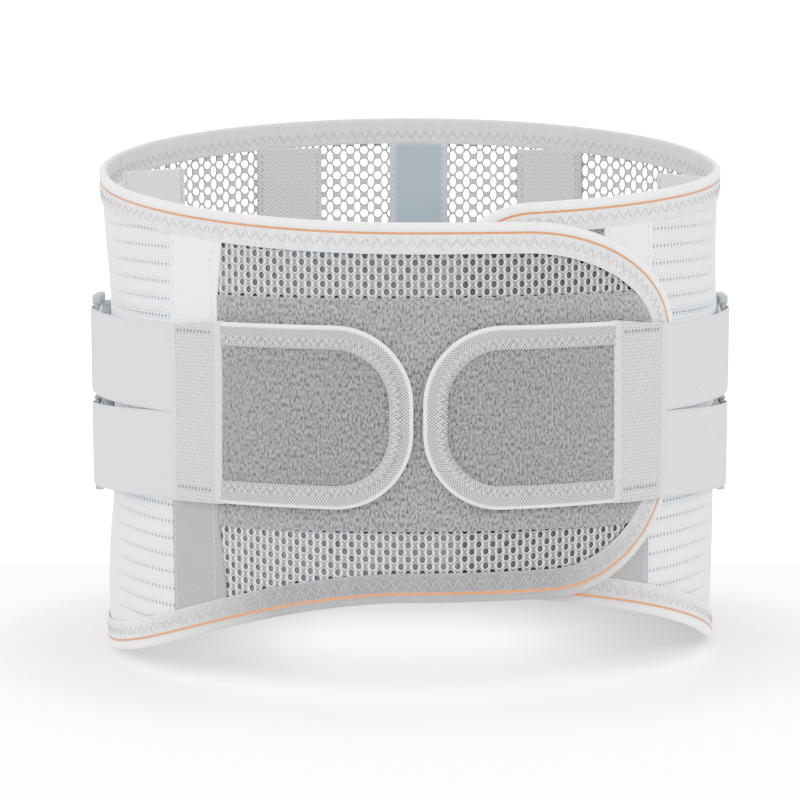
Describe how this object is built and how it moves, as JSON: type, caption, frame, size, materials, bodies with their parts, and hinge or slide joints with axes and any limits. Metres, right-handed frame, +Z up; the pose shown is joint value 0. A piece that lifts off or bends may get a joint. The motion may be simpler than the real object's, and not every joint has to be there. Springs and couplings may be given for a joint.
{
  "type": "lumbar support belt",
  "caption": "Closed lumbar support belt: mesh back with flat stays, lapped front flaps with a felt patch, and two rounded pull tabs on paired straps turned through plastic loops.",
  "frame": {"origin": "middle of the bounding box in X and Y, on the surface the bottom rim stands on", "axes": "+X to the wearer's left as seen from the front closure, -Y the front closure, +Z up"},
  "size_m": [0.3394, 0.2555, 0.2786],
  "materials": {
    "edge_tape": "woven, matt",
    "loop_plastic": "moulded, satin",
    "stay_plastic": "extruded, satin",
    "stay_steel": "coated spring steel",
    "centre_pocket_cloth": "woven, matt",
    "pocket_cloth": "twill, matt",
    "label_cloth": "satin tape",
    "mesh_cloth": "open knitted mesh",
    "perforated_elastic": "perforated elastic",
    "seam_tape": "ribbed tape",
    "tab_web": "twill, matt",
    "tab_felt": "brushed loop felt",
    "grey_felt": "brushed loop felt",
    "hook_cloth": "hook tape",
    "strap_webbing": "finely ribbed webbing"
  },
  "bodies": {
    "back": {"back_bottom_edge_tape": "edge_tape", "back_mesh_panel": "mesh_cloth", "back_top_edge_tape": "edge_tape", "care_label": "label_cloth", "centre_stay": "stay_steel", "centre_stay_pocket": "centre_pocket_cloth", "left_inner_stay": "stay_steel", "left_inner_stay_pocket": "pocket_cloth", "left_outer_stay": "stay_steel", "left_outer_stay_pocket": "pocket_cloth", "lower_back_band": "strap_webbing", "right_inner_stay": "stay_steel", "right_inner_stay_pocket": "pocket_cloth", "right_outer_stay": "stay_steel", "right_outer_stay_pocket": "pocket_cloth", "upper_back_band": "strap_webbing"},
    "left_wing": {"left_edge_tape": "edge_tape", "left_front_stay": "stay_plastic", "left_front_stay_pocket": "pocket_cloth", "left_outer_flap_mesh": "mesh_cloth", "left_seam_tape": "seam_tape", "left_side_elastic": "perforated_elastic", "front_loop_patch": "grey_felt", "flap_hook_patch": "hook_cloth"},
    "right_wing": {"right_edge_tape": "edge_tape", "right_front_stay": "stay_plastic", "right_front_stay_pocket": "pocket_cloth", "right_inner_flap_mesh": "mesh_cloth", "right_seam_tape": "seam_tape", "right_side_elastic": "perforated_elastic", "inner_flap_loop_panel": "grey_felt"},
    "left_loops": {"left_upper_plastic_loop": "loop_plastic", "left_lower_plastic_loop": "loop_plastic"},
    "left_tab": {"left_lower_strap": "strap_webbing", "left_tab_edge_tape": "edge_tape", "left_tab_felt": "tab_felt", "left_tab_hook_layer": "hook_cloth", "left_tab_web": "tab_web", "left_upper_strap": "strap_webbing"},
    "right_loops": {"right_upper_plastic_loop": "loop_plastic", "right_lower_plastic_loop": "loop_plastic"},
    "right_tab": {"right_lower_strap": "strap_webbing", "right_tab_edge_tape": "edge_tape", "right_tab_felt": "tab_felt", "right_tab_hook_layer": "hook_cloth", "right_tab_web": "tab_web", "right_upper_strap": "strap_webbing"}
  },
  "joints": [
    {"name": "left_wing_swing", "type": "hinge", "parent": "back", "child": "left_wing", "pos_m": [-0.1665, 0.0145, 0], "axis": [0, 0, -1], "range_deg": [0, 33.1]},
    {"name": "right_wing_swing", "type": "hinge", "parent": "back", "child": "right_wing", "pos_m": [0.1665, 0.0145, 0], "axis": [0, 0, 1], "range_deg": [0, 27.6]},
    {"name": "left_loops_swing", "type": "hinge", "parent": "left_wing", "child": "left_loops", "pos_m": [-0.1665, 0.0145, 0], "axis": [0, 0, -1], "range_deg": [0, 25]},
    {"name": "right_loops_swing", "type": "hinge", "parent": "right_wing", "child": "right_loops", "pos_m": [0.1665, 0.0145, 0], "axis": [0, 0, 1], "range_deg": [0, 25]},
    {"name": "left_tab_swing", "type": "hinge", "parent": "left_loops", "child": "left_tab", "pos_m": [-0.1665, -0.0035, 0], "axis": [0, 0, -1], "range_deg": [0, 110]},
    {"name": "right_tab_swing", "type": "hinge", "parent": "right_loops", "child": "right_tab", "pos_m": [0.1665, -0.0035, 0], "axis": [0, 0, 1], "range_deg": [0, 110]}
  ],
  "couplings": [
    {"joint": "left_wing_swing", "follows": "right_tab_swing", "ratio": 0.3},
    {"joint": "right_wing_swing", "follows": "right_tab_swing", "ratio": 0.25}
  ]
}
